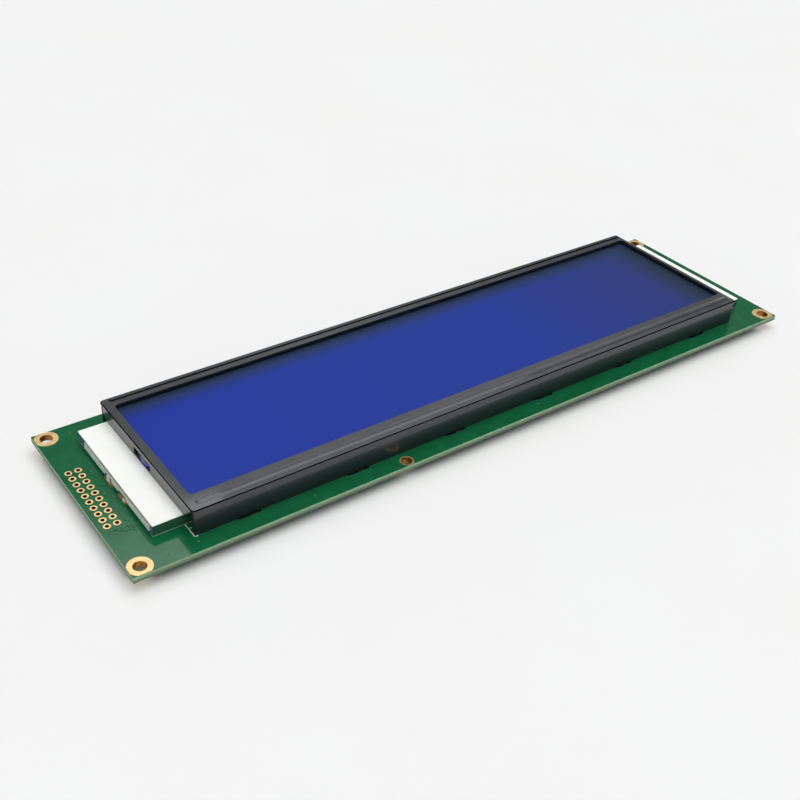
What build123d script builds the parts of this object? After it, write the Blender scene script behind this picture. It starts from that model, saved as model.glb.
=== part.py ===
from build123d import *
import math
import os

# Graphic LCD module: a long circuit board that carries a blue display cell under a
# black stamped bezel, with an edge-lit light guide that runs out at both ends.
# Millimetres. +X runs along the board away from the header, +Y to its back edge,
# +Z out of the display. The origin is under the middle of the board, on the surface
# that the tallest rear part rests on.

# Circuit board
board_length = 219.6
board_width = 60.6
board_thickness = 1.6

# Plated holes
plating = 0.05
land_margin = 0.1
corner_inset_x = 3.0
corner_inset_y = 2.8
corner_hole_radius = 1.7
corner_land_radius = 3.1
edge_hole_x = -33.4
edge_hole_inset = 1.85
edge_hole_radius = 1.45
edge_land_radius = 1.9
header_rows = 10
header_columns = 2
header_pitch = 2.54
header_inset = 2.3
header_hole_radius = 0.52
header_land_radius = 0.95

# Stamped bezel, placed by what it leaves free of the board
bezel_margin_left = 17.6
bezel_margin_right = 15.3
bezel_margin_front = 5.15
bezel_margin_back = 4.1
bezel_height = 7.4
sheet = 0.8
bend_radius = 0.35
plate_corner_radius = 0.9
wall_end_gap = 0.3
foot_radius_left = 0.4
foot_radius_right = 1.2
end_wall_gap_front = 0.3
end_wall_gap_back = 1.2
end_wall_chamfer_front = 3.3
end_wall_chamfer_back = 1.4
end_wall_lift = 0.05

# Window in the bezel, placed by the frame that it leaves on each side
window_margin_left = 2.35
window_margin_right = 1.3
window_margin_front = 5.65
window_margin_back = 3.9
window_radius = 1.0

# Pressed ribs beside the window
rib_margin_left = 2.2
rib_margin_right = 0.7
rib_height = 0.25
rib_crest_share = 0.4
front_rib_width = 2.0
front_rib_inset = 2.5
back_rib_width = 1.3
back_rib_inset = 1.4

# Twist tabs that lock the bezel under the board
tab_count = 6
tab_margin_left = 14.8
tab_margin_right = 15.9
tab_neck_width = 1.6
tab_head_width = 5.6
tab_head_height = 1.2
tab_twist = 40
tab_end_clearance = 0.4
tab_side_clearance = 0.08

# Backlight, placed by how far it stands out of the bezel and stays inside it
guide_reach_left = 7.9
guide_reach_right = 8.2
guide_margin_front = 4.85
guide_margin_back = 3.9
reflector_thickness = 0.2
guide_thickness = 2.8
diffuser_thickness = 0.2

# Lamp boards on the light guide's ends
lamp_board_thickness = 0.4
lamp_board_margin_front = 1.3
lamp_board_margin_back = 4.8
lamp_board_gap = 1.0
lamp_count = 6
lamp_row_margin = 3.8
lamp_length = 3.8
lamp_depth = 0.9
lamp_height = 1.2
notch_count = 2
notch_spacing = 7.9
notch_shift = 0.35
notch_width = 4.4
notch_height = 1.0
lamp_land_reach = 0.9
solder_side_margin = 0.3
solder_foot = 0.6
solder_shoulder = 0.8

# Display cell
polariser_thickness = 0.25
polariser_margin = 0.7
polariser_end_margin = 0.2
glass_thickness = 1.1
glass_clearance = 0.2
rear_glass_overhang = 0.15
rear_polariser_inset = 0.6
cell_gap = 0.1
seal_inset = 0.5
seal_width = 1.0
plug_length = 7.0
plug_recess = 0.1
plug_low_inset = 0.55
plug_high_inset = 0.2
plug_end_clearance = 1.0
plug_lower_clearance = 0.2
plug_upper_clearance = 0.4
zebra_gap = 0.7
zebra_end_inset = 3.5
gasket_gap = 0.5

# Packages on the rear, placed from the board's left end
package_gap = 0.2
package_draft = 0.15
lead_thickness = 0.15
lead_knee_share = 0.45
controller_inset = 37.8
controller_y = 2.0
controller_side = 14.0
controller_height = 2.6
controller_lead_count = 16
controller_lead_pitch = 0.8
controller_lead_width = 0.36
controller_lead_reach = 1.7
memory_spacing = 26.0
memory_length = 17.9
memory_width = 7.5
memory_height = 2.5
memory_lead_count = 14
memory_lead_reach = 1.45
amplifier_inset = 21.8
amplifier_y = -15.0
amplifier_length = 8.7
amplifier_width = 3.9
amplifier_height = 1.5
amplifier_lead_count = 7
amplifier_lead_reach = 1.1
outline_lead_pitch = 1.27
outline_lead_width = 0.42

# Driver chips under resin, with a capacitor beside each
driver_count = 5
driver_pitch = 26.0
driver_y = 2.0
glob_radius = 8.0
glob_height = 1.6
capacitor_length = 2.0
capacitor_width = 1.25
capacitor_height = 1.0
capacitor_cap = 0.35
capacitor_gap = 2.5
capacitor_offset_y = 7.0
bus_capacitor_offset_y = 8.0

# Resistors, tantalum capacitors and resonator on the rear
resistor_count = 6
resistor_pitch = 2.6
resistor_row_shift = 0.5
resistor_y = -12.0
resistor_length = 1.6
resistor_width = 0.8
resistor_height = 0.45
resistor_cap = 0.25
power_resistor_inset = 11.8
power_resistor_offset_y = 6.0
power_resistor_length = 3.2
power_resistor_width = 1.6
power_resistor_height = 0.6
power_resistor_cap = 0.4
tantalum_inset = 10.3
tantalum_y = 1.0
tantalum_spacing = 30.0
tantalum_length = 7.3
tantalum_width = 4.3
tantalum_height = 2.8
tantalum_cap = 0.6
resonator_offset_y = 13.5
resonator_length = 7.4
resonator_width = 3.4
resonator_height = 1.8

# Worked-out levels
rear_clearance = max(controller_height + package_gap, tantalum_height)
board_bottom = rear_clearance
board_top = board_bottom + board_thickness
guide_bottom = board_top + reflector_thickness
guide_top = guide_bottom + guide_thickness
diffuser_top = guide_top + diffuser_thickness
rear_glass_bottom = diffuser_top + polariser_thickness
rear_glass_top = rear_glass_bottom + glass_thickness
front_glass_bottom = rear_glass_top + cell_gap
front_glass_top = front_glass_bottom + glass_thickness
bezel_top = board_top + bezel_height
bezel_underside = bezel_top - sheet
plug_low = rear_glass_bottom + plug_low_inset
plug_high = front_glass_top - plug_high_inset

# Worked-out outlines
board_left = -board_length / 2
board_right = board_length / 2
board_front = -board_width / 2
board_back = board_width / 2
bezel_left = board_left + bezel_margin_left
bezel_right = board_right - bezel_margin_right
bezel_front = board_front + bezel_margin_front
bezel_back = board_back - bezel_margin_back
window_left = bezel_left + window_margin_left
window_right = bezel_right - window_margin_right
window_front = bezel_front + window_margin_front
window_back = bezel_back - window_margin_back
guide_left = bezel_left - guide_reach_left
guide_right = bezel_right + guide_reach_right
guide_front = bezel_front + guide_margin_front
guide_back = bezel_back - guide_margin_back
lamp_board_front = guide_front + lamp_board_margin_front
lamp_board_back = guide_back - lamp_board_margin_back
lamp_board_middle = (lamp_board_front + lamp_board_back) / 2
glass_left = bezel_left + sheet + glass_clearance
glass_right = bezel_right - sheet - glass_clearance
glass_front = bezel_front + sheet + glass_clearance
glass_back = bezel_back - sheet - glass_clearance
rear_glass_front = guide_front - rear_glass_overhang
rear_glass_back = guide_back + rear_glass_overhang
polariser_front = window_front - polariser_margin
polariser_back = window_back + polariser_margin
plug_y = (window_front + window_back) / 2

# Worked-out places on the rear
controller_x = board_left + controller_inset
memory_x = controller_x + memory_spacing
amplifier_x = board_left + amplifier_inset
bus_left = controller_x + controller_side / 2 + controller_lead_reach
bus_right = memory_x - memory_width / 2 - memory_lead_reach
bus_capacitor_x = (bus_left + bus_right) / 2
driver_row = [memory_x + driver_pitch * (i + 1) for i in range(driver_count)]

# Board slots, sized so that a tab's head passes and its turned neck stays clear
slot_length = tab_head_width + 2 * tab_end_clearance
turned_neck = tab_neck_width * math.sin(math.radians(tab_twist)) + sheet * math.cos(math.radians(tab_twist))
slot_width = turned_neck + 2 * tab_side_clearance


def middle_and_length(span):
    low, high = span
    return (low + high) / 2, high - low


def block(x_span, y_span, z_span):
    """A box between two limits on each axis."""
    x, length = middle_and_length(x_span)
    y, width = middle_and_length(y_span)
    z, height = middle_and_length(z_span)
    return Pos(x, y, z) * Box(length, width, height)


def drum(radius, z_span, x=0.0, y=0.0):
    """An upright cylinder between two heights."""
    z, height = middle_and_length(z_span)
    return Pos(x, y, z) * Cylinder(radius, height)


def evenly(first, last, count):
    step = (last - first) / (count - 1)
    return [first + step * i for i in range(count)]


def centred(count, pitch, middle=0.0):
    half = pitch * (count - 1) / 2
    return evenly(middle - half, middle + half, count)


def save(node, solids):
    """Writes one node, with repeated pieces as separate solids."""
    shape = solids[0] if len(solids) == 1 else Compound(children=solids)
    export_step(shape, os.path.join("parts", node + ".step"))


def corner_hole_places():
    x_lines = (board_left + corner_inset_x, board_right - corner_inset_x)
    y_lines = (board_front + corner_inset_y, board_back - corner_inset_y)
    return [(x, y) for x in x_lines for y in y_lines]


def edge_hole_place():
    return edge_hole_x, board_front + edge_hole_inset


def header_places():
    columns = [board_left + header_inset + header_pitch * i for i in range(header_columns)]
    return [(x, y) for x in columns for y in centred(header_rows, header_pitch)]


def tab_places():
    """Where the twist tabs leave the front and back walls of the bezel."""
    lines = (bezel_front + sheet / 2, bezel_back - sheet / 2)
    row = evenly(bezel_left + tab_margin_left, bezel_right - tab_margin_right, tab_count)
    return [(x, y) for y in lines for x in row]


def make_board():
    board = block((board_left, board_right), (board_front, board_back), (board_bottom, board_top))
    drill = (board_bottom - 1, board_top + 1)
    for x, y in corner_hole_places():
        board -= drum(corner_hole_radius, drill, x, y)
    board -= drum(edge_hole_radius, drill, *edge_hole_place())
    for x, y in header_places():
        board -= drum(header_land_radius, drill, x, y)
    slot = Box(slot_length, slot_width, board_thickness)
    for x, y in tab_places():
        board -= Pos(x, y, (board_bottom + board_top) / 2) * slot
    return board


def face_lands(at, hole_radius, land_radius):
    """Copper rings on both faces round a screw hole, cut off where the board ends."""
    x, y = at
    x_span = (board_left + land_margin, board_right - land_margin)
    y_span = (board_front + land_margin, board_back - land_margin)
    rings = []
    for levels in ((board_top, board_top + plating), (board_bottom - plating, board_bottom)):
        land = drum(land_radius, levels, x, y) & block(x_span, y_span, levels)
        rings.append(land - drum(hole_radius, levels, x, y))
    return rings


def eyelet(at, hole_radius, land_radius):
    """Copper bush through the board for one header pin, proud of both faces."""
    x, y = at
    levels = (board_bottom - plating, board_top + plating)
    return drum(land_radius, levels, x, y) - drum(hole_radius, levels, x, y)


def bent_cover():
    """Box-shaped cover with the bends of folded sheet along its top edges."""
    x, length = middle_and_length((bezel_left, bezel_right))
    y, width = middle_and_length((bezel_front, bezel_back))
    outside = Box(length, width, bezel_height)
    outside = fillet(outside.edges().filter_by(Axis.Z), plate_corner_radius)
    outside = fillet(outside.faces().sort_by(Axis.Z)[-1].edges(), bend_radius)
    inside = Box(length - 2 * sheet, width - 2 * sheet, bezel_height)
    return Pos(x, y, board_top + bezel_height / 2) * (outside - Pos(0, 0, -sheet) * inside)


def window_opening():
    x, length = middle_and_length((window_left, window_right))
    y, width = middle_and_length((window_front, window_back))
    outline = RectangleRounded(length, width, window_radius)
    return Pos(x, y, bezel_underside - sheet) * extrude(outline, amount=3 * sheet)


def end_wall_cutter(side):
    """What the stamping leaves out of an end wall: its lower corners and the strip over the film."""
    outer = bezel_left if side < 0 else bezel_right
    x_span = sorted((outer - side * sheet, outer + side))
    front = bezel_front + sheet + end_wall_gap_front
    back = bezel_back - sheet - end_wall_gap_back
    low = diffuser_top + end_wall_lift
    slab = block(x_span, (bezel_front + sheet, bezel_back - sheet), (board_top - 1, bezel_underside))
    outline = Polyline(
        (0, front + end_wall_chamfer_front, low),
        (0, back - end_wall_chamfer_back, low),
        (0, back, low + end_wall_chamfer_back),
        (0, back, bezel_top),
        (0, front, bezel_top),
        (0, front, low + end_wall_chamfer_front),
        close=True,
    )
    kept = extrude(make_face(outline), amount=x_span[1] - x_span[0], dir=(1, 0, 0))
    return slab - Pos(x_span[0], 0, 0) * kept


def corner_cutters(side):
    """Shortens the long walls at one end, so that the folded corners stay open, and rounds their feet."""
    outer, radius = (bezel_left, foot_radius_left) if side < 0 else (bezel_right, foot_radius_right)
    wall_end = outer - side * wall_end_gap
    foot_x = wall_end - side * radius
    foot_top = board_top + radius
    cutters = []
    for y_span in ((bezel_front - 1, bezel_front + sheet), (bezel_back - sheet, bezel_back + 1)):
        y, width = middle_and_length(y_span)
        cutters.append(block(sorted((wall_end, outer + side)), y_span, (board_top - 1, bezel_underside)))
        foot = block(sorted((foot_x, wall_end)), y_span, (board_top - 1, foot_top))
        cutters.append(foot - Pos(foot_x, y, foot_top) * Rot(90, 0, 0) * Cylinder(radius, width))
    return cutters


def plug_slot():
    """Slot in the left end wall, round the bead that closes the cell."""
    reach = plug_length / 2 + plug_end_clearance
    y_span = (plug_y - reach, plug_y + reach)
    z_span = (plug_low - plug_lower_clearance, plug_high + plug_upper_clearance)
    return block((bezel_left - 1, bezel_left + sheet), y_span, z_span)


def rib(y, width):
    """Long pressed rib with sloping flanks and round ends, on Z 0."""
    x, length = middle_and_length((bezel_left + rib_margin_left, bezel_right - rib_margin_right))
    flanks = width * (1 - rib_crest_share)
    foot = SlotOverall(length, width)
    crest = SlotOverall(length - flanks, width - flanks)
    return Pos(x, y, 0) * loft([foot, Pos(0, 0, rib_height) * crest], ruled=True)


def twist_tab(x, y, turn):
    """Neck that goes through the board, and a head turned flat against its rear."""
    neck_top = Rectangle(tab_neck_width, sheet)
    neck_bottom = Rot(0, 0, turn) * Rectangle(tab_neck_width, sheet)
    neck = loft([Pos(0, 0, board_top) * neck_top, Pos(0, 0, board_bottom) * neck_bottom], ruled=True)
    head = Rot(0, 0, turn) * Box(tab_head_width, sheet, tab_head_height)
    head = Pos(0, 0, board_bottom - tab_head_height / 2) * head
    return Pos(x, y, 0) * (neck + head)


def make_bezel():
    bezel = bent_cover() - window_opening()
    for side in (-1, 1):
        bezel -= end_wall_cutter(side)
        for cutter in corner_cutters(side):
            bezel -= cutter
    bezel -= plug_slot()
    front_rib = rib(bezel_front + front_rib_inset, front_rib_width)
    back_rib = rib(bezel_back - back_rib_inset, back_rib_width)
    for pressed in (front_rib, back_rib):
        bezel += Pos(0, 0, bezel_top) * pressed
        bezel -= Pos(0, 0, bezel_underside) * pressed
    for x, y in tab_places():
        turn = tab_twist if y < plug_y else -tab_twist
        bezel += twist_tab(x, y, turn)
    return bezel


def guide_end(side):
    return guide_left if side < 0 else guide_right


def guide_layer(z_span):
    return block((guide_left, guide_right), (guide_front, guide_back), z_span)


def make_lamps(side):
    """Side-firing lamps on the inner face of one lamp board, in pockets of the guide."""
    end = guide_end(side)
    x_span = sorted((end, end - side * lamp_depth))
    z = (guide_bottom + guide_top) / 2
    z_span = (z - lamp_height / 2, z + lamp_height / 2)
    places = evenly(lamp_board_front + lamp_row_margin, lamp_board_back - lamp_row_margin, lamp_count)
    return [block(x_span, (y - lamp_length / 2, y + lamp_length / 2), z_span) for y in places]


def make_light_guide():
    guide = guide_layer((guide_bottom, guide_top))
    for side in (-1, 1):
        for lamp in make_lamps(side):
            guide -= lamp
    return guide


def notch_spans():
    places = centred(notch_count, notch_spacing, lamp_board_middle + notch_shift)
    return [(y - notch_width / 2, y + notch_width / 2) for y in places]


def make_lamp_board(side):
    """Thin lamp board on the end of the light guide, notched over its solder joints."""
    end = guide_end(side)
    x_span = sorted((end, end + side * lamp_board_thickness))
    low = board_top + lamp_board_gap
    strip = block(x_span, (lamp_board_front, lamp_board_back), (low, guide_top))
    for y_span in notch_spans():
        strip -= block(x_span, y_span, (low, low + notch_height))
    return strip


def make_lamp_lands(side):
    """Copper lands on the main board in front of the lamp board's notches."""
    end = guide_end(side)
    x_span = sorted((end, end + side * lamp_land_reach))
    return [block(x_span, y_span, (board_top, board_top + plating)) for y_span in notch_spans()]


def make_lamp_solder(side):
    """Solder that climbs from each land into its notch."""
    end = guide_end(side)
    foot = board_top + plating
    top = board_top + lamp_board_gap + notch_height
    wedge = Polyline(
        (end, 0, foot),
        (end + side * solder_foot, 0, foot),
        (end + side * lamp_board_thickness, 0, foot + solder_shoulder),
        (end, 0, top),
        close=True,
    )
    joints = []
    for y_span in notch_spans():
        y, width = middle_and_length(y_span)
        joint = extrude(make_face(wedge), amount=width / 2 - solder_side_margin, dir=(0, 1, 0), both=True)
        joints.append(Pos(0, y, 0) * joint)
    return joints


def glass_sheet(y_span, z_span):
    return block((glass_left, glass_right), y_span, z_span)


def polariser(y_span, bottom):
    x_span = (window_left - polariser_end_margin, window_right + polariser_end_margin)
    return block(x_span, y_span, (bottom, bottom + polariser_thickness))


def make_cell_seal():
    x, length = middle_and_length((glass_left + seal_inset, glass_right - seal_inset))
    y, width = middle_and_length((rear_glass_front + seal_inset, rear_glass_back - seal_inset))
    outline = Rectangle(length, width) - Rectangle(length - 2 * seal_width, width - 2 * seal_width)
    return Pos(x, y, rear_glass_top) * extrude(outline, amount=cell_gap)


def make_end_plug():
    """Bead of cured resin over the cell's filling port, which fills the bezel's slot."""
    bulge = glass_clearance + sheet - plug_recess
    ends = (0, -plug_length / 2), (0, plug_length / 2)
    lens = make_face(Line(*ends) + ThreePointArc(ends[0], (-bulge, 0), ends[1]))
    return Pos(glass_left, plug_y, plug_low) * extrude(lens, amount=plug_high - plug_low)


def contact_row(y_span, z_span):
    x_span = (glass_left + zebra_end_inset, glass_right - zebra_end_inset)
    return block(x_span, y_span, z_span)


def gull_lead(width, body_height, reach):
    """One bent lead that leaves a body at X 0 and stands on Z 0."""
    shoulder = package_gap + body_height * lead_knee_share
    bend = reach * lead_knee_share
    outline = Polyline(
        (0, 0, shoulder),
        (bend, 0, shoulder),
        (bend, 0, lead_thickness),
        (reach, 0, lead_thickness),
        (reach, 0, 0),
        (bend - lead_thickness, 0, 0),
        (bend - lead_thickness, 0, shoulder - lead_thickness),
        (0, 0, shoulder - lead_thickness),
        close=True,
    )
    return extrude(make_face(outline), amount=width / 2, dir=(0, 1, 0), both=True)


def lead_row(count, pitch, offset, lead, turn):
    """A row of leads along one side of a package, at the given turn about Z."""
    return [Rot(0, 0, turn) * Pos(offset, y, 0) * lead for y in centred(count, pitch)]


def package_body(length, width, height):
    """Moulded package with drafted sides that meet at the leads' level."""
    top = package_gap + height
    waist = package_gap + height * lead_knee_share
    foot = Pos(0, 0, package_gap) * Rectangle(length - 2 * package_draft, width - 2 * package_draft)
    middle = Pos(0, 0, waist) * Rectangle(length, width)
    lid = Pos(0, 0, top) * Rectangle(length - 2 * package_draft, width - 2 * package_draft)
    return loft([foot, middle], ruled=True) + loft([middle, lid], ruled=True)


def chip(length, width, height, cap):
    """Body and two end caps of a small rectangular part, on Z 0."""
    level = (0, height)
    y_span = (-width / 2, width / 2)
    inner = length / 2 - cap
    body = block((-inner, inner), y_span, level)
    ends = [block(sorted((side * inner, side * length / 2)), y_span, level) for side in (-1, 1)]
    return [body] + ends


def hang(pieces, x, y, turn=0):
    """Turns pieces built on Z 0 upside down and puts them on the board's rear face."""
    return [Pos(x, y, board_bottom) * Rot(180, 0, turn) * piece for piece in pieces]


def save_package(name, place, turn, size, rows, lead):
    """Writes the body and the leads of one package on the rear."""
    pitch, count, sides = rows
    leads = []
    for side_turn, half_width in sides:
        leads += lead_row(count, pitch, half_width, lead, side_turn)
    save(name + "_body", hang([package_body(*size)], *place, turn))
    save(name + "_leads", hang(leads, *place, turn))


def glob():
    """Low dome of black resin over a bare driver chip, on Z 0."""
    sphere_radius = (glob_radius**2 + glob_height**2) / (2 * glob_height)
    dome = Pos(0, 0, glob_height - sphere_radius) * Sphere(sphere_radius)
    return dome & drum(glob_radius + 1, (0, glob_height + 1))


def save_chips(bodies_name, ends_name, chips):
    """Writes the bodies of one kind of chip as one node and their end caps as another."""
    save(bodies_name, [pieces[0] for pieces in chips])
    save(ends_name, [piece for pieces in chips for piece in pieces[1:]])


os.makedirs("parts", exist_ok=True)

# Board and its copper
save("circuit_board", [make_board()])
corner_rings = [face_lands(at, corner_hole_radius, corner_land_radius) for at in corner_hole_places()]
save("corner_lands", [ring for rings in corner_rings for ring in rings])
save("edge_lands", face_lands(edge_hole_place(), edge_hole_radius, edge_land_radius))
save("header_lands", [eyelet(at, header_hole_radius, header_land_radius) for at in header_places()])

# Bezel
save("bezel", [make_bezel()])

# Backlight
save("reflector_sheet", [guide_layer((board_top, guide_bottom))])
save("light_guide", [make_light_guide()])
save("diffuser_sheet", [guide_layer((guide_top, diffuser_top))])
for side, name in ((-1, "left"), (1, "right")):
    save("led_board_" + name, [make_lamp_board(side)])
    save("leds_" + name, make_lamps(side))
    save("led_lands_" + name, make_lamp_lands(side))
    save("led_solder_" + name, make_lamp_solder(side))

# Display cell
rear_polariser_span = (rear_glass_front + rear_polariser_inset, rear_glass_back - rear_polariser_inset)
save("rear_polariser", [polariser(rear_polariser_span, diffuser_top)])
save("rear_glass", [glass_sheet((rear_glass_front, rear_glass_back), (rear_glass_bottom, rear_glass_top))])
save("cell_seal", [make_cell_seal()])
save("front_glass", [glass_sheet((glass_front, glass_back), (front_glass_bottom, front_glass_top))])
save("front_polariser", [polariser((polariser_front, polariser_back), front_glass_top)])
save("end_plug", [make_end_plug()])

# Elastic connectors between the board and the cell, and the foam strips over them
zebra_levels = (board_top, front_glass_bottom)
save("zebra_front", [contact_row((bezel_front + sheet + zebra_gap, guide_front - zebra_gap), zebra_levels)])
save("zebra_back", [contact_row((guide_back + zebra_gap, bezel_back - sheet - zebra_gap), zebra_levels)])
gasket_levels = (front_glass_top, bezel_underside)
save("gasket_front", [contact_row((glass_front, polariser_front - gasket_gap), gasket_levels)])
save("gasket_back", [contact_row((polariser_back + gasket_gap, glass_back), gasket_levels)])

# Packages on the rear
controller_sides = [(turn, controller_side / 2) for turn in (0, 90, 180, 270)]
save_package(
    "controller",
    (controller_x, controller_y),
    0,
    (controller_side, controller_side, controller_height),
    (controller_lead_pitch, controller_lead_count, controller_sides),
    gull_lead(controller_lead_width, controller_height, controller_lead_reach),
)
save_package(
    "memory",
    (memory_x, controller_y),
    90,
    (memory_length, memory_width, memory_height),
    (outline_lead_pitch, memory_lead_count, [(turn, memory_width / 2) for turn in (90, 270)]),
    gull_lead(outline_lead_width, memory_height, memory_lead_reach),
)
save_package(
    "amplifier",
    (amplifier_x, amplifier_y),
    0,
    (amplifier_length, amplifier_width, amplifier_height),
    (outline_lead_pitch, amplifier_lead_count, [(turn, amplifier_width / 2) for turn in (90, 270)]),
    gull_lead(outline_lead_width, amplifier_height, amplifier_lead_reach),
)

# Driver chips under resin
save("driver_globs", [hang([glob()], x, driver_y)[0] for x in driver_row])

# Capacitors beside the drivers and between controller and memory
capacitor_size = (capacitor_length, capacitor_width, capacitor_height, capacitor_cap)
capacitor_shift = glob_radius + capacitor_gap + capacitor_length / 2
capacitors = []
for side in (-1, 1):
    for x in driver_row:
        y = driver_y + side * capacitor_offset_y
        capacitors.append(hang(chip(*capacitor_size), x + capacitor_shift, y))
    y = controller_y + side * bus_capacitor_offset_y
    capacitors.append(hang(chip(*capacitor_size), bus_capacitor_x, y, 90))
save_chips("capacitor_bodies", "capacitor_ends", capacitors)

# Resistors in a row by the amplifier, and two larger ones by the header
resistor_size = (resistor_length, resistor_width, resistor_height, resistor_cap)
power_resistor_size = (power_resistor_length, power_resistor_width, power_resistor_height, power_resistor_cap)
resistors = []
for x in centred(resistor_count, resistor_pitch, controller_x + resistor_row_shift):
    resistors.append(hang(chip(*resistor_size), x, resistor_y, 90))
for y in centred(2, 2 * power_resistor_offset_y):
    resistors.append(hang(chip(*power_resistor_size), board_left + power_resistor_inset, y, 90))
save_chips("resistor_bodies", "resistor_ends", resistors)

# Tantalum capacitors by the right end
tantalum_size = (tantalum_length, tantalum_width, tantalum_height, tantalum_cap)
tantalum_row = centred(2, tantalum_spacing, tantalum_y)
tantalums = [hang(chip(*tantalum_size), board_right - tantalum_inset, y, 90) for y in tantalum_row]
save_chips("tantalum_bodies", "tantalum_ends", tantalums)

# Ceramic resonator of the controller
resonator_box = Pos(0, 0, resonator_height / 2) * Box(resonator_length, resonator_width, resonator_height)
save("resonator", hang([resonator_box], controller_x, controller_y + resonator_offset_y))
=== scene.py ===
import math

import bpy
import bmesh
from mathutils import Matrix, Vector


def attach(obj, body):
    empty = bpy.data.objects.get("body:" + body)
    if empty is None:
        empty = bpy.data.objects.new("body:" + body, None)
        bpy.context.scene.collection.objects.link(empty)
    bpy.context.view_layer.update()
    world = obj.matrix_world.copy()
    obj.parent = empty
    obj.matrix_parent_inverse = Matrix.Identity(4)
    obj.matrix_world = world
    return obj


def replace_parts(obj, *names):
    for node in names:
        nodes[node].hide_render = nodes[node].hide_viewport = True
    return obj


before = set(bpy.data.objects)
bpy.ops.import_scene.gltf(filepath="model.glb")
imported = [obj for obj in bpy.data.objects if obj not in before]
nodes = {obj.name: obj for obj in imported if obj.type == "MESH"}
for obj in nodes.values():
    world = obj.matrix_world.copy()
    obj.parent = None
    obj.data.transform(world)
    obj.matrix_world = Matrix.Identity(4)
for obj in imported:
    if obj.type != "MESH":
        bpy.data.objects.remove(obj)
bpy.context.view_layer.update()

# Looks for the graphic LCD module. Lengths are written in millimetres and turned into
# metres by MM, in the CAD's own frame: +X away from the header, +Y to the back, +Z up.
MM = 0.001

# Camera, fitted to the photograph
camera_target = (-28.348, -0.089, 4.4)
camera_distance = 304.05
camera_azimuth = math.radians(-36.065)
camera_elevation = math.radians(35.144)
camera_roll = -0.04705
camera_lens = 50.086
camera_sensor = 36.0
camera_shift = 0.05
camera_clip = (0.01, 10.0)

# Studio. The floor's profile gives the radius and rise of each ring; room_sides and room_left
# give where a direction's share of the light starts and ends, and room_left_share the least of it.
floor_profile = [(1350.0, 0.0), (1480.0, 12.0), (1560.0, 60.0), (1600.0, 160.0), (1610.0, 600.0)]
floor_segments = 96
floor_level = -0.02
floor_grey = 0.89
floor_warmth = (0.99, 0.99, 0.98)
room_dark = 0.07
room_light = 0.62
room_sides = {"Z": (0.44, 0.56), "Y": (-0.2, 0.3)}
room_left = (-0.2, -0.05)
room_left_share = 0.2
room_tint = (0.97, 0.99, 1.0, 1.0)
lamp_distance = 3000.0
lamps = {
    # azimuth from the back, elevation, size and power
    "overhead": (180.0, 80.0, (4600.0, 3400.0), 101.0),
    "back_strip": (2.0, 52.0, (1930.0, 950.0), 10.0),
}

# Levels and places of the CAD that the added pieces are tied to
rear_face = 2.8
front_face = 4.4
plating = 0.05
corner_holes = [(-106.8, -27.5), (-106.8, 27.5), (106.8, -27.5), (106.8, 27.5)]
corner_hole_radius = 1.7
edge_hole = (-33.4, -28.45)
edge_hole_radius = 1.45
header_columns = (-107.5, -104.96)
header_row_ends = (-11.43, 11.43)
header_rows = 10
header_pitch = 2.54
guide_ends = {"left": -100.1, "right": 102.7}
notch_middles = (3.55, -4.35)
notch_width = 4.4
drivers_x = (-20.0, 6.0, 32.0, 58.0, 84.0)
drivers_y = 2.0
glob_radius = 8.0
plug_foot = 8.4

# Rear packages: middle in X and Y, length and depth
controller = (-72.0, 2.0, 14.0, 14.0)
memory = (-46.0, 2.0, 7.5, 17.9)
amplifier = (-88.0, -15.0, 8.7, 3.9)

# Where colours change: half size of the field with slots, whose walls are painted dark as shade; rises over
# the rear face, where the board's edge turns from painted shade below to its lighter cloth above, and over
# the plug's foot, where its painted blue glow ends; and spans of the window along X or Y for its painted
# shade
slot_field = (105.0, 28.0)
edge_shade_rise = (0.4, 1.3)
plug_glow_rise = (0.35, 0.6)
window_left_span = (-90.0, 30.0)
window_right_span = (20.0, 88.0)
window_back_shade = (14.5, 22.6)
window_right_shade = (79.0, 92.0)

# Sleeves of the screw holes, and joints of the lamp boards. Each bead has a shift along its notch,
# a half length and a height.
sleeve_wall = 0.045
sleeve_clearance = 0.005
joint_reach = 0.6
joint_beads = ((0.25, 1.15, 1.55), (-0.75, 0.6, 0.8))
bead_offset = 0.24
bead_half_width = 0.26

# Print and copper on both faces
silk_thickness = 0.04
silk_width = 0.27
trace_thickness = 0.05
trace_width = 0.32
rear_trace_width = 0.4
fine_share = 0.8
via_radius = 0.34
via_hole_radius = 0.14
via_cap_height = 0.13
hatch_pitch = 0.62
land_reach = 1.05

# Front print: corner of the bezel's outline, where its line ends, its hook and its tick
print_corner = (-91.95, -25.35)
print_line_end = -20.45
print_hook = 0.75
print_tick_y = -22.1
print_tick_length = 0.8

# Front traces: from the header's inner column, and three lanes that leave its front end
trace_stop_gap = 0.7
trace_lead = 0.7
trace_step = 0.8
lane_count = 3
lane_start = 1.1
lane_drop = 0.5
lane_pitch = 0.75
lane_chamfer = 0.7
lane_jog_x = (-103.4, -102.6)
lane_jog_drop = 0.5
front_vias = [
    (-107.6, -22.0), (-106.1, -16.6), (-103.0, -0.2), (-102.3, 9.6), (-101.1, -7.7), (-100.7, 26.9),
    (-99.7, -27.6), (-91.9, -27.0), (-60.4, -27.4), (12.6, -27.0), (58.2, -27.6), (98.4, -24.6), (104.8, 8.0),
]

# Rear traces: header bundle, memory bus, the drivers' fans and two supply rails
bundle_pitch = 1.15
bundle_bend = -96.0
bundle_stagger = 0.6
controller_lead_reach = 2.2
memory_lead_reach = 1.9
bus_lanes = 13
bus_pitches = (1.0, 1.27)
bus_bend = 1.2
fan_lanes = 9
fan_pitch = 1.5
fan_spread = 1.5
fan_gap = 0.3
fan_lead = 1.2
fan_bend = 3.0
fan_end = 20.0
fan_via = 20.6
fan_via_share = 1.4
rail_ends = (-96.0, 102.0)
rail_y = 28.6
rail_share = 2.2

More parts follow.
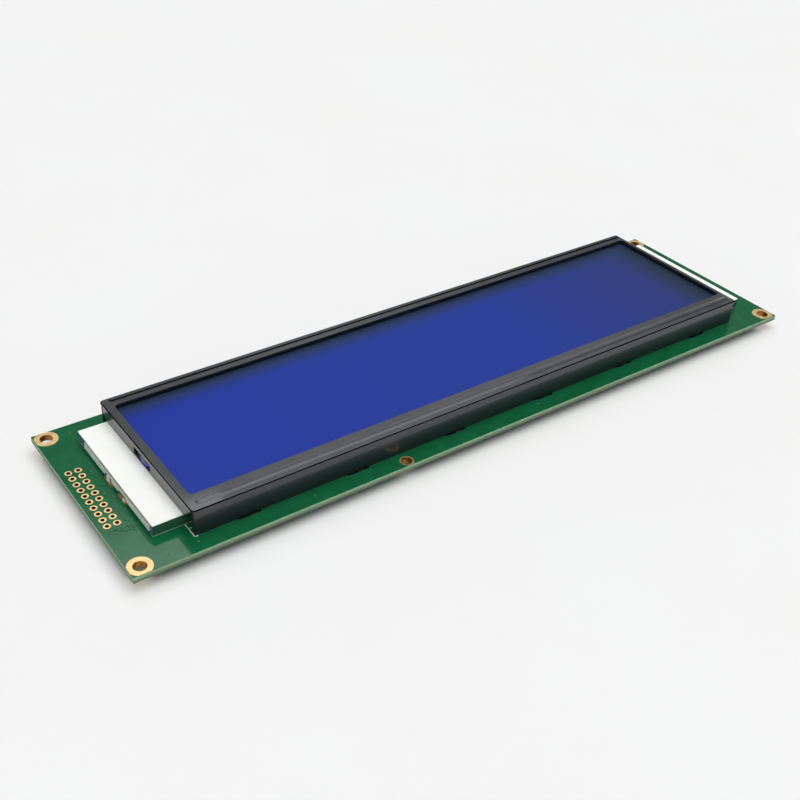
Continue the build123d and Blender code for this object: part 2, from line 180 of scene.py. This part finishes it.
# Rear print: margins round the packages, and the dot at the first lead
controller_margin = 2.6
memory_margin = 2.4
amplifier_margin = 1.9
header_margin = 1.35
glob_margin = 0.5
dot_offset = 0.9
dot_radii = (0.08, 0.45)


def srgb(red, green, blue):
    """Turns a colour as a screen shows it, 0 to 255, into Blender's linear colour."""
    linear = []
    for value in (red, green, blue):
        share = value / 255
        linear.append(share / 12.92 if share <= 0.04045 else ((share + 0.055) / 1.055) ** 2.4)
    return (linear[0], linear[1], linear[2], 1.0)


class Shader:
    """A material under construction: a Principled shader and the nodes that feed it."""

    def __init__(self, name):
        self.material = bpy.data.materials.new(name)
        self.material.use_nodes = True
        self.tree = self.material.node_tree
        self.surface = self.tree.nodes["Principled BSDF"]
        self.place = self.node("ShaderNodeTexCoord").outputs["Object"]

    def node(self, kind, **settings):
        made = self.tree.nodes.new(kind)
        for key, value in settings.items():
            setattr(made, key, value)
        return made

    def link(self, source, target):
        self.tree.links.new(source, target)

    def set(self, **sockets):
        for key, value in sockets.items():
            self.surface.inputs[key.replace("_", " ")].default_value = value

    def noise(self, grain, detail=3.0, stretch=None):
        """Noise with features of about the given size in millimetres."""
        made = self.node("ShaderNodeTexNoise")
        made.inputs["Scale"].default_value = 1 / (grain * MM)
        made.inputs["Detail"].default_value = detail
        source = self.place
        if stretch:
            mapping = self.node("ShaderNodeMapping")
            mapping.inputs["Scale"].default_value = stretch
            self.link(source, mapping.inputs["Vector"])
            source = mapping.outputs["Vector"]
        self.link(source, made.inputs["Vector"])
        return made.outputs["Fac"]

    def ramp(self, source, low, high, start=0.0, end=1.0):
        """Maps source from low..high to start..end, clamped and smooth."""
        made = self.node("ShaderNodeMapRange", interpolation_type="SMOOTHSTEP")
        made.inputs["From Min"].default_value = low
        made.inputs["From Max"].default_value = high
        made.inputs["To Min"].default_value = start
        made.inputs["To Max"].default_value = end
        self.link(source, made.inputs["Value"])
        return made.outputs["Result"]

    def mix(self, share, first, second):
        """Mixes two colours, each a colour or the output of another node."""
        made = self.node("ShaderNodeMix", data_type="RGBA")
        self.link(share, made.inputs["Factor"])
        for socket, value in ((made.inputs[6], first), (made.inputs[7], second)):
            if isinstance(value, tuple):
                socket.default_value = value
            else:
                self.link(value, socket)
        return made.outputs[2]

    def math(self, operation, *values):
        made = self.node("ShaderNodeMath", operation=operation)
        for socket, value in zip(made.inputs, values):
            if isinstance(value, (int, float)):
                socket.default_value = value
            else:
                self.link(value, socket)
        return made.outputs[0]

    def axis(self, letter, source=None):
        """One coordinate of the place, in metres."""
        made = self.node("ShaderNodeSeparateXYZ")
        self.link(source or self.place, made.inputs[0])
        return made.outputs[letter]

    def facing(self, letter):
        """One component of the surface's own normal."""
        return self.axis(letter, self.node("ShaderNodeNewGeometry").outputs["Normal"])

    def looking(self, letter):
        """1 where the surface looks along an axis, either way, and 0 where it runs along it."""
        return self.ramp(self.math("ABSOLUTE", self.facing(letter)), 0.4, 0.6)

    def along(self, letter, span, start=0.0, end=1.0):
        """A ramp along one axis over a span in millimetres."""
        low, high = span
        return self.ramp(self.axis(letter), low * MM, high * MM, start, end)

    def within(self, letter, half):
        """1 less than half millimetres from the middle of an axis, and 0 beyond."""
        return self.math("LESS_THAN", self.math("ABSOLUTE", self.axis(letter)), half * MM)

    def colour(self, source):
        self.link(source, self.surface.inputs["Base Color"])

    def roughness(self, source):
        self.link(source, self.surface.inputs["Roughness"])

    def stripes(self, slope, pitch):
        """Waves from 0 to 1 over the board's plane, along x + slope * y."""
        lean = self.math("MULTIPLY", self.axis("Y"), slope)
        distance = self.math("ADD", self.axis("X"), lean)
        phase = self.math("MULTIPLY", distance, 2 * math.pi / (pitch * MM))
        return self.math("MULTIPLY_ADD", self.math("SINE", phase), 0.5, 0.5)

    def bump(self, source, height):
        """Relief of the given height in millimetres."""
        made = self.node("ShaderNodeBump")
        made.inputs["Distance"].default_value = height * MM
        made.inputs["Strength"].default_value = 1.0
        self.link(source, made.inputs["Height"])
        self.link(made.outputs["Normal"], self.surface.inputs["Normal"])


def plain(name, dark, light, grain, rough, relief=0.0, relief_grain=None, **sockets):
    """A material with mottled colour, uneven gloss and fine relief."""
    shader = Shader(name)
    mottle = shader.noise(grain)
    shader.colour(shader.mix(shader.ramp(mottle, 0.35, 0.65), dark, light))
    shader.roughness(shader.ramp(shader.noise(grain * 0.6), 0.3, 0.7, rough[0], rough[1]))
    if relief:
        shader.bump(shader.noise(relief_grain or grain, 4.0), relief)
    shader.set(**sockets)
    return shader.material


def board_material():
    """Green mask over hatched copper; bare glass cloth shows on the cut edges, painted darker towards the
    bottom and inside the slots as shade.
    """
    shader = Shader("solder_mask")
    hatch = shader.math("MAXIMUM", shader.stripes(1.0, hatch_pitch), shader.stripes(-1.0, hatch_pitch))
    weave = shader.ramp(hatch, 0.4, 1.0, 0.0, 0.6)
    mottle = shader.math("ADD", weave, shader.ramp(shader.noise(4.0), 0.35, 0.65, 0.0, 0.4))
    mask = shader.mix(mottle, srgb(9, 84, 49), srgb(20, 103, 65))
    fibres = shader.noise(0.5, 4.0, (0.3, 0.3, 3.0))
    cloth = shader.mix(shader.ramp(fibres, 0.35, 0.65), srgb(122, 160, 124), srgb(154, 188, 148))
    aged = shader.ramp(shader.noise(25.0), 0.5, 0.7, 0.0, 0.5)
    cloth = shader.mix(aged, cloth, srgb(140, 140, 112))
    # Painted shade: the cut edge turns darker towards the bottom, below its lighter top
    above_edge_shade = shader.along("Z", [rear_face + rise for rise in edge_shade_rise])
    cloth = shader.mix(above_edge_shade, srgb(98, 118, 96), cloth)
    # Slots inside the outline are cut through copper and mask; their walls are painted dark, as shade
    inside = [shader.within(letter, half) for letter, half in zip("XY", slot_field)]
    cloth = shader.mix(shader.math("MULTIPLY", *inside), cloth, srgb(24, 40, 34))
    on_face = shader.looking("Z")
    shader.colour(shader.mix(on_face, cloth, mask))
    shader.roughness(shader.ramp(on_face, 0.0, 1.0, 0.7, 0.12))
    shader.bump(shader.math("ADD", hatch, shader.noise(0.8, 3.0)), 0.003)
    return shader.material


def gold_material():
    """Thin gold on copper; the bore of a header pin is copper brown, darkened with painted shade."""
    shader = Shader("gold_plate")
    mottle = shader.noise(1.6)
    gold_face = shader.mix(shader.ramp(mottle, 0.35, 0.65), srgb(247, 208, 146), srgb(255, 226, 165))
    # Painted shade: faces that do not look up, the bores, are copper brown darkened to dark brown
    shader.colour(shader.mix(shader.looking("Z"), srgb(96, 44, 26), gold_face))
    shader.roughness(shader.ramp(mottle, 0.3, 0.7, 0.3, 0.38))
    shader.bump(shader.noise(0.3, 3.0), 0.0015)
    shader.set(Metallic=1.0)
    return shader.material


def bezel_material():
    """Black paint: a hazy charcoal body under a sharp gloss, with painted shade on the walls and along the
    bends.
    """
    shader = Shader("black_paint")
    mottle = shader.noise(6.0)
    body = shader.mix(shader.ramp(mottle, 0.35, 0.65), srgb(42, 45, 50), srgb(50, 53, 58))
    upward = shader.facing("Z")
    # Painted shade: walls and faces that look down get a darker body
    clear_of_wall_shade = shader.ramp(upward, 0.02, 0.12)
    body = shader.mix(clear_of_wall_shade, srgb(24, 27, 33), body)
    # Painted shade along the bends, between level and upright: near black, with little gloss
    levelling = shader.ramp(upward, 0.88, 0.95, 1.0, 0.0)
    bend = shader.math("MULTIPLY", clear_of_wall_shade, levelling)
    shader.colour(shader.mix(bend, body, srgb(8, 9, 13)))
    shader.roughness(shader.ramp(shader.noise(1.5), 0.3, 0.7, 0.3, 0.36))
    shader.bump(shader.noise(0.5, 2.0), 0.0004)
    shader.link(shader.ramp(bend, 0.0, 1.0, 0.6, 0.0), shader.surface.inputs["Specular IOR Level"])
    on_walls = shader.ramp(upward, 0.0, 0.3, 0.55, 1.0)
    on_bends = shader.ramp(bend, 0.0, 1.0, 1.0, 0.05)
    shader.link(shader.math("MULTIPLY", on_walls, on_bends), shader.surface.inputs["Coat Weight"])
    shader.set(Specular_Tint=(0.9, 0.96, 1.0, 1.0), IOR=1.5, Coat_Roughness=0.05)
    return shader.material


def window_material():
    """Blue polariser with painted shade: darker and greyer towards the right, and greyer towards the back and
    the right, where the cell's frame shades it.
    """
    shader = Shader("blue_polariser")
    # Painted shade: the blue darkens and greys along X towards the right
    near = srgb(32, 55, 156)
    middle = srgb(33, 57, 149)
    far = srgb(43, 58, 124)
    blue = shader.mix(shader.along("X", window_left_span), near, middle)
    blue = shader.mix(shader.along("X", window_right_span), blue, far)
    mottle = shader.ramp(shader.noise(0.7, 2.0), 0.3, 0.7, 0.0, 0.05)
    blue = shader.mix(mottle, blue, srgb(60, 70, 110))
    # Painted shade of the cell's frame towards the back and right edges
    frame_shades = shader.along("Y", window_back_shade), shader.along("X", window_right_shade)
    frame_shade = shader.math("MAXIMUM", *frame_shades)
    shader.colour(shader.mix(frame_shade, blue, srgb(42, 56, 74)))
    shader.roughness(shader.ramp(shader.noise(0.8), 0.3, 0.7, 0.18, 0.24))
    shader.set(Specular_IOR_Level=0.12)
    return shader.material


def clear_material():
    """Clear acrylic with painted light: its long sides are painted with the green board seen through them,
    its ends with a cool grey reflection.
    """
    shader = Shader("clear_guide")
    mottle = shader.noise(4.0)
    # Painted: the long sides show the green board seen through them, the ends a cool grey reflection
    side = shader.mix(shader.ramp(mottle, 0.3, 0.7), srgb(52, 108, 82), srgb(62, 122, 94))
    end = shader.mix(shader.ramp(mottle, 0.3, 0.7), srgb(96, 116, 146), srgb(112, 132, 160))
    shader.colour(shader.mix(shader.looking("X"), side, end))
    shader.roughness(shader.ramp(mottle, 0.3, 0.7, 0.03, 0.08))
    shader.set(IOR=1.49, Transmission_Weight=0.35)
    return shader.material


def glass_material():
    """Cell glass, whose cut ends carry a painted glow of the cell's blue."""
    shader = Shader("cell_glass")
    mottle = shader.noise(4.0)
    face = shader.mix(shader.ramp(mottle, 0.3, 0.7), srgb(200, 222, 214), srgb(216, 232, 226))
    end_glow = shader.looking("X")
    # Painted glow: the cut ends are bright blue
    shader.colour(shader.mix(end_glow, face, srgb(60, 116, 255)))
    shader.roughness(shader.ramp(mottle, 0.3, 0.7, 0.02, 0.06))
    shader.link(shader.ramp(end_glow, 0.0, 1.0, 0.9, 0.0), shader.surface.inputs["Transmission Weight"])
    shader.set(IOR=1.52)
    return shader.material


def plug_material():
    """Cured resin: grey above, with a painted blue glow of the cell along its foot."""
    shader = Shader("plug_resin")
    resin = shader.mix(shader.ramp(shader.noise(0.8), 0.35, 0.65), srgb(32, 38, 48), srgb(48, 56, 72))
    # Painted glow: the foot turns bright blue
    foot = shader.along("Z", [plug_foot + rise for rise in plug_glow_rise], 1.0, 0.0)
    shader.colour(shader.mix(foot, resin, srgb(48, 104, 235)))
    shader.roughness(shader.ramp(shader.noise(0.8), 0.3, 0.7, 0.12, 0.2))
    shader.bump(shader.noise(0.8), 0.02)
    return shader.material


def lamp_board_material():
    """White-printed lamp board, greyer on its sawn upper edge."""
    shader = Shader("lamp_board")
    mottle = shader.ramp(shader.noise(1.2), 0.35, 0.65)
    face = shader.mix(mottle, srgb(214, 220, 208), srgb(230, 234, 224))
    sawn = shader.mix(mottle, srgb(104, 108, 102), srgb(126, 130, 122))
    on_top = shader.ramp(shader.facing("Z"), 0.4, 0.6)
    shader.colour(shader.mix(on_top, face, sawn))
    shader.roughness(shader.ramp(shader.noise(0.8), 0.3, 0.7, 0.4, 0.55))
    shader.bump(shader.noise(0.3), 0.008)
    return shader.material


board_green = board_material()
gold = gold_material()
black_paint = bezel_material()
blue_window = window_material()
clear_acrylic = clear_material()
cell_glass = glass_material()
hole_copper = plain(
    "hole_copper", srgb(170, 112, 58), srgb(200, 140, 78), 0.8, (0.25, 0.4), 0.006, Metallic=1.0
)
land_copper = plain(
    "land_copper", srgb(176, 116, 62), srgb(208, 148, 90), 0.7, (0.3, 0.45), 0.006, Metallic=0.5
)
masked_copper = plain("masked_copper", srgb(22, 106, 66), srgb(28, 114, 72), 1.0, (0.12, 0.2), 0.001)
silk_ink = plain("silk_ink", srgb(206, 210, 200), srgb(226, 230, 220), 0.4, (0.5, 0.65), 0.004)
white_film = plain("white_film", srgb(247, 248, 242), srgb(250, 251, 246), 8.0, (0.5, 0.6), 0.004, 0.4)
# Painted shade: the white reflector film is toned grey
reflector = plain("shaded_reflector_film", srgb(176, 184, 176), srgb(190, 198, 190), 6.0, (0.4, 0.5), 0.004, 0.4)
lamp_board = lamp_board_material()
lamp_white = plain("lamp_white", srgb(225, 225, 215), srgb(238, 238, 230), 0.8, (0.4, 0.5), 0.004)
grey_film = plain("grey_polariser", srgb(70, 76, 90), srgb(82, 88, 100), 5.0, (0.15, 0.25), 0.002)
cell_resin = plain("cell_resin", srgb(196, 192, 170), srgb(214, 210, 188), 1.5, (0.3, 0.4), 0.01)
plug_resin = plug_material()
rubber = plain("connector_rubber", srgb(150, 152, 150), srgb(176, 178, 176), 0.5, (0.6, 0.75), 0.01)
foam = plain("foam_strip", srgb(28, 28, 30), srgb(42, 42, 44), 0.3, (0.85, 0.95), 0.03, 0.2)
solder = plain("solder", srgb(236, 238, 238), srgb(248, 249, 250), 0.5, (0.12, 0.2), 0.004, Metallic=0.1)
tinned = plain(
    "tinned_metal", srgb(172, 172, 170), srgb(200, 200, 198), 0.6, (0.3, 0.42), 0.006, Metallic=1.0
)
black_mould = plain("black_mould", srgb(26, 27, 28), srgb(38, 39, 41), 0.6, (0.5, 0.65), 0.02, 0.15)
glob_resin = plain("glob_resin", srgb(14, 14, 16), srgb(24, 24, 26), 3.0, (0.12, 0.22), 0.03, 2.0)
ceramic = plain("ceramic_tan", srgb(150, 122, 92), srgb(176, 148, 116), 0.4, (0.5, 0.6), 0.01)
resistor = plain("resistor_black", srgb(16, 16, 18), srgb(26, 26, 30), 0.4, (0.3, 0.4), 0.006)
tantalum = plain("tantalum_yellow", srgb(208, 150, 40), srgb(224, 168, 56), 0.7, (0.4, 0.5), 0.01)

finishes = {
    "circuit_board": board_green,
    "corner_lands": gold,
    "edge_lands": gold,
    "header_lands": gold,
    "bezel": black_paint,
    "reflector_sheet": reflector,
    "light_guide": clear_acrylic,
    "diffuser_sheet": white_film,
    "led_board_left": lamp_board,
    "led_board_right": lamp_board,
    "leds_left": lamp_white,
    "leds_right": lamp_white,
    "led_lands_left": land_copper,
    "led_lands_right": land_copper,
    "led_solder_left": solder,
    "led_solder_right": solder,
    "rear_polariser": grey_film,
    "rear_glass": cell_glass,
    "cell_seal": cell_resin,
    "front_glass": cell_glass,
    "front_polariser": blue_window,
    "end_plug": plug_resin,
    "zebra_front": rubber,
    "zebra_back": rubber,
    "gasket_front": foam,
    "gasket_back": foam,
    "controller_body": black_mould,
    "controller_leads": tinned,
    "memory_body": black_mould,
    "memory_leads": tinned,
    "amplifier_body": black_mould,
    "amplifier_leads": tinned,
    "driver_globs": glob_resin,
    "capacitor_bodies": ceramic,
    "capacitor_ends": tinned,
    "resistor_bodies": resistor,
    "resistor_ends": tinned,
    "tantalum_bodies": tantalum,
    "tantalum_ends": tinned,
    "resonator": ceramic,
}
for node_name, finish in finishes.items():
    slots = nodes[node_name].data.materials
    slots.clear()
    slots.append(finish)


def add_bar(mesh, start, end, width, levels):
    """A flat bar between two points of the board's plane."""
    start, end = Vector(start), Vector(end)
    middle = (start + end) / 2
    along = end - start
    low, high = levels
    size = Matrix.Diagonal(((along.length + width) * MM, width * MM, (high - low) * MM, 1))
    turn = Matrix.Rotation(math.atan2(along.y, along.x), 4, "Z")
    place = Matrix.Translation((middle.x * MM, middle.y * MM, (low + high) / 2 * MM))
    bmesh.ops.create_cube(mesh, size=1.0, matrix=place @ turn @ size)


def add_path(mesh, points, width, levels):
    """Flat bars from point to point."""
    for start, end in zip(points, points[1:]):
        add_bar(mesh, start, end, width, levels)


def add_frame(mesh, area, margin, width, levels):
    """A printed outline round a package."""
    x, y, length, depth = area
    half_x, half_y = length / 2 + margin, depth / 2 + margin
    signs = [(-1, -1), (1, -1), (1, 1), (-1, 1), (-1, -1)]
    add_path(mesh, [(x + half_x * a, y + half_y * b) for a, b in signs], width, levels)


def add_tube(mesh, at, radii, levels, steps=48):
    """An upright tube with square ends."""
    inner, outer = radii
    low, high = levels
    rings = []
    for radius, level in ((inner, low), (outer, low), (outer, high), (inner, high)):
        ring = []
        for step in range(steps):
            angle = 2 * math.pi * step / steps
            x, y = at[0] + radius * math.cos(angle), at[1] + radius * math.sin(angle)
            ring.append(mesh.verts.new((x * MM, y * MM, level * MM)))
        rings.append(ring)
    for index, ring in enumerate(rings):
        following = rings[(index + 1) % len(rings)]
        for step in range(steps):
            after = (step + 1) % steps
            mesh.faces.new((ring[step], ring[after], following[after], following[step]))


def add_dome(mesh, centre, radii):
    """The upper half of an ellipsoid, closed underneath."""
    size = Matrix.Diagonal([radius * MM for radius in radii] + [1])
    place = Matrix.Translation([value * MM for value in centre])
    made = bmesh.ops.create_uvsphere(mesh, u_segments=24, v_segments=16, radius=1.0, matrix=place @ size)
    verts = made["verts"]
    # A dict keeps the elements in order, so that every run builds the same mesh
    edges = dict.fromkeys(edge for vert in verts for edge in vert.link_edges)
    faces = dict.fromkeys(face for vert in verts for face in vert.link_faces)
    ball = [*verts, *edges, *faces]
    level = Vector((0, 0, centre[2] * MM))
    cut = bmesh.ops.bisect_plane(mesh, geom=ball, plane_co=level, plane_no=(0, 0, 1), clear_inner=True)
    rim = [item for item in cut["geom_cut"] if isinstance(item, bmesh.types.BMEdge)]
    bmesh.ops.edgeloop_fill(mesh, edges=rim)


def place_piece(mesh, name, material, smooth=False):
    """Turns the built mesh into a piece that rides with the board."""
    bmesh.ops.recalc_face_normals(mesh, faces=mesh.faces)
    data = bpy.data.meshes.new(name)
    mesh.to_mesh(data)
    mesh.free()
    data.materials.append(material)
    for polygon in data.polygons:
        polygon.use_smooth = smooth
    piece = bpy.data.objects.new(name, data)
    bpy.context.collection.objects.link(piece)
    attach(piece, "root")
    return piece


def make_hole_sleeves():
    """Copper walls of the plated screw holes."""
    mesh = bmesh.new()
    levels = (rear_face - plating, front_face + plating)
    holes = [(at, corner_hole_radius) for at in corner_holes] + [(edge_hole, edge_hole_radius)]
    for at, radius in holes:
        outside = radius - sleeve_clearance
        add_tube(mesh, at, (outside - sleeve_wall, outside), levels)
    place_piece(mesh, "hole_sleeves", hole_copper)


def make_lamp_joints(side):
    """Short copper lands and solder beads in the notches of one lamp board."""
    end = guide_ends[side]
    outward = -1 if side == "left" else 1
    lands = bmesh.new()
    beads = bmesh.new()
    foot = front_face + plating
    x = end + outward * joint_reach / 2
    half = (notch_width - joint_reach) / 2
    for y, (shift, half_length, height) in zip(notch_middles, joint_beads):
        add_bar(lands, (x, y - half), (x, y + half), joint_reach, (front_face, foot))
        bead_middle = (end + outward * bead_offset, y + shift, foot)
        add_dome(beads, bead_middle, (bead_half_width, half_length, height))
    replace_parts(place_piece(lands, "lamp_lands_" + side, land_copper), "led_lands_" + side)
    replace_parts(place_piece(beads, "lamp_beads_" + side, solder, smooth=True), "led_solder_" + side)


def make_front_print():
    """White corner mark of the bezel's outline, with its tick."""
    mesh = bmesh.new()
    levels = (front_face, front_face + silk_thickness)
    x, y = print_corner
    add_path(mesh, [(x, print_line_end), (x, y), (x + print_hook, y)], silk_width, levels)
    tick = ((x, print_tick_y), (x + print_tick_length, print_tick_y))
    add_bar(mesh, *tick, silk_width * fine_share, levels)
    place_piece(mesh, "front_print", silk_ink)


def header_rows_y():
    """The header's rows from front to back."""
    first, last = header_row_ends
    return [first + (last - first) * row / (header_rows - 1) for row in range(header_rows)]


def make_front_traces():
    """Masked traces from the header's lands to the light guide's end, and the vias among them."""
    mesh = bmesh.new()
    levels = (front_face, front_face + trace_thickness)
    stop = guide_ends["left"] - trace_stop_gap
    start = header_columns[1] + land_reach
    bend = start + trace_lead
    for row, y in enumerate(header_rows_y()):
        if row % 3 == 2:
            continue
        lane_y = y + (trace_step if row % 2 else -trace_step)
        path = [(start, y), (bend, y), (bend + trace_step, lane_y), (stop, lane_y)]
        add_path(mesh, path, trace_width, levels)
    for lane in range(lane_count):
        x = header_columns[0] + header_pitch / 2 * lane
        y = header_row_ends[0] - lane_start
        low = y - lane_drop - lane_pitch * lane
        run = low - lane_chamfer
        end = run - lane_jog_drop
        path = [(x, y), (x, low), (x + lane_chamfer, run)]
        path += [(lane_jog_x[0], run), (lane_jog_x[1], end), (stop, end)]
        add_path(mesh, path, trace_width, levels)
    place_piece(mesh, "front_traces", masked_copper)
    caps = bmesh.new()
    for x, y in front_vias:
        add_dome(caps, (x, y, front_face), (via_radius, via_radius, via_cap_height))
    place_piece(caps, "via_caps", masked_copper, smooth=True)


def make_rear_traces():
    """Masked traces on the rear: header bundle, memory bus, the drivers' fans and the rails."""
    mesh = bmesh.new()
    levels = (rear_face - trace_thickness, rear_face)
    fine_width = rear_trace_width * fine_share
    controller_x, controller_y, controller_length, _ = controller
    memory_x, memory_y, memory_length, _ = memory
    bundle_start = header_columns[1] + land_reach
    bundle_end = controller_x - controller_length / 2 - controller_lead_reach
    for row, y in enumerate(header_rows_y()):
        lane_y = controller_y + (row - (header_rows - 1) / 2) * bundle_pitch
        bend = bundle_bend + bundle_stagger * row
        path = [(bundle_start, y), (bend, y), (bend + abs(y - lane_y), lane_y), (bundle_end, lane_y)]
        add_path(mesh, path, rear_trace_width, levels)
    start = controller_x + controller_length / 2 + controller_lead_reach
    end = memory_x - memory_length / 2 - memory_lead_reach
    middle = (start + end) / 2
    for lane in range(bus_lanes):
        offset = lane - (bus_lanes - 1) / 2
        y = controller_y + offset * bus_pitches[0]
        target = memory_y + offset * bus_pitches[1]
        path = [(start, y), (middle - bus_bend, y), (middle + bus_bend, target), (end, target)]
        add_path(mesh, path, fine_width, levels)
    for x in drivers_x:
        for lane in range(fan_lanes):
            offset = (lane - (fan_lanes - 1) / 2) * fan_pitch
            outer = x + offset * fan_spread
            edge = math.sqrt(glob_radius**2 - offset**2)
            for side in (-1, 1):
                path = [
                    (x + offset, drivers_y + side * (edge + fan_gap)),
                    (x + offset, drivers_y + side * (glob_radius + fan_lead)),
                    (outer, drivers_y + side * (glob_radius + fan_bend)),
                    (outer, side * fan_end),
                ]
                add_path(mesh, path, fine_width, levels)
                via_radii = (via_hole_radius, via_radius * fan_via_share)
                add_tube(mesh, (outer, side * fan_via), via_radii, levels, 16)
    for side in (-1, 1):
        rail = [(x, side * rail_y) for x in rail_ends]
        add_path(mesh, rail, rear_trace_width * rail_share, levels)
    place_piece(mesh, "rear_traces", masked_copper)


def make_rear_print():
    """White outlines round the packages on the rear, with a dot at the first lead."""
    mesh = bmesh.new()
    levels = (rear_face - silk_thickness, rear_face)
    margins = ((controller, controller_margin), (memory, memory_margin), (amplifier, amplifier_margin))
    for area, margin in margins:
        add_frame(mesh, area, margin, silk_width, levels)
        x, y, length, depth = area
        dot = (x - length / 2 - margin - dot_offset, y + depth / 2)
        add_tube(mesh, dot, dot_radii, levels, 20)
    inner = glob_radius + glob_margin
    for x in drivers_x:
        add_tube(mesh, (x, drivers_y), (inner, inner + silk_width), levels, 72)
    header = (sum(header_columns) / 2, 0.0, header_pitch, header_row_ends[1] - header_row_ends[0])
    add_frame(mesh, header, header_margin, silk_width, levels)
    place_piece(mesh, "rear_print", silk_ink)


def make_floor():
    """A round floor that turns up into a low pale wall far from the object."""
    points = [(0.0, 0.0, floor_level * MM)]
    faces = []
    for ring, (radius, rise) in enumerate(floor_profile):
        first = 1 + ring * floor_segments
        for step in range(floor_segments):
            angle = 2 * math.pi * step / floor_segments
            after = (step + 1) % floor_segments
            x, y = radius * math.cos(angle), radius * math.sin(angle)
            points.append((x * MM, y * MM, (floor_level + rise) * MM))
            if ring:
                inner = first - floor_segments
                faces.append((inner + step, first + step, first + after, inner + after))
            else:
                faces.append((0, first + step, first + after))
    mesh = bpy.data.meshes.new("floor")
    mesh.from_pydata(points, [], faces)
    for polygon in mesh.polygons:
        polygon.use_smooth = True
    floor = bpy.data.objects.new("floor", mesh)
    bpy.context.collection.objects.link(floor)
    shader = Shader("paper")
    tone = (floor_grey, floor_grey, floor_grey, 1.0)
    warm = tuple(floor_grey * share for share in floor_warmth) + (1.0,)
    shader.colour(shader.mix(shader.ramp(shader.noise(60.0), 0.3, 0.7), tone, warm))
    shader.set(Roughness=0.9, Specular_IOR_Level=0.0)
    mesh.materials.append(shader.material)


def make_world():
    """A soft room: light above the back of the table, dark low down, behind the camera and to its left."""
    world = bpy.data.worlds.new("studio")
    bpy.context.scene.world = world
    world.use_nodes = True
    tree = world.node_tree
    place = tree.nodes.new("ShaderNodeTexCoord").outputs["Generated"]
    split = tree.nodes.new("ShaderNodeSeparateXYZ")
    tree.links.new(place, split.inputs[0])
    across = tree.nodes.new("ShaderNodeVectorMath")
    across.operation = "DOT_PRODUCT"
    across.inputs[1].default_value = (math.cos(camera_azimuth), math.sin(camera_azimuth), 0.0)
    tree.links.new(place, across.inputs[0])
    spans = [(split.outputs[letter], span, 0.0) for letter, span in room_sides.items()]
    spans.append((across.outputs["Value"], room_left, room_left_share))
    share = None
    for source, (low, high), least in spans:
        step = tree.nodes.new("ShaderNodeMapRange")
        step.interpolation_type = "SMOOTHSTEP"
        step.inputs["From Min"].default_value = low
        step.inputs["From Max"].default_value = high
        step.inputs["To Min"].default_value = least
        tree.links.new(source, step.inputs["Value"])
        result = step.outputs["Result"]
        if share:
            product = tree.nodes.new("ShaderNodeMath")
            product.operation = "MULTIPLY"
            tree.links.new(result, product.inputs[0])
            tree.links.new(share, product.inputs[1])
            result = product.outputs[0]
        share = result
    level = tree.nodes.new("ShaderNodeMapRange")
    level.inputs["To Min"].default_value = room_dark
    level.inputs["To Max"].default_value = room_light
    tree.links.new(share, level.inputs["Value"])
    background = tree.nodes["Background"]
    background.inputs["Color"].default_value = room_tint
    tree.links.new(level.outputs["Result"], background.inputs["Strength"])


def make_lamp(name, azimuth, elevation, size, power):
    """A rectangular soft lamp that faces the object."""
    light = bpy.data.lights.new(name, "AREA")
    light.shape = "RECTANGLE"
    light.size = size[0] * MM
    light.size_y = size[1] * MM
    light.energy = power
    lamp = bpy.data.objects.new(name, light)
    bpy.context.collection.objects.link(lamp)
    across, up = math.radians(azimuth), math.radians(elevation)
    direction = Vector((math.sin(across) * math.cos(up), math.cos(across) * math.cos(up), math.sin(up)))
    lamp.location = direction * lamp_distance * MM
    lamp.rotation_euler = (-direction).to_track_quat("-Z", "Y").to_euler()


def make_camera():
    """The photograph's own view, with its slight roll."""
    back = Vector((
        math.sin(camera_azimuth) * math.cos(camera_elevation),
        -math.cos(camera_azimuth) * math.cos(camera_elevation),
        math.sin(camera_elevation),
    ))
    level = Vector((0, 0, 1)).cross(back).normalized()
    upward = back.cross(level)
    right = math.cos(camera_roll) * level - math.sin(camera_roll) * upward
    up = math.sin(camera_roll) * level + math.cos(camera_roll) * upward
    data = bpy.data.cameras.new("camera")
    data.sensor_width = camera_sensor
    data.lens = camera_lens
    data.shift_x = camera_shift
    data.clip_start, data.clip_end = camera_clip
    camera = bpy.data.objects.new("camera", data)
    bpy.context.collection.objects.link(camera)
    place = (Vector(camera_target) + back * camera_distance) * MM
    turn = Matrix((right, up, back)).transposed().to_4x4()
    camera.matrix_world = Matrix.Translation(place) @ turn
    bpy.context.scene.camera = camera


make_hole_sleeves()
make_front_print()
make_front_traces()
make_rear_traces()
make_rear_print()
for side in guide_ends:
    make_lamp_joints(side)
make_floor()
make_world()
for lamp_name, (azimuth, elevation, size, power) in lamps.items():
    make_lamp(lamp_name, azimuth, elevation, size, power)
make_camera()
bpy.context.scene.view_settings.view_transform = "Standard"
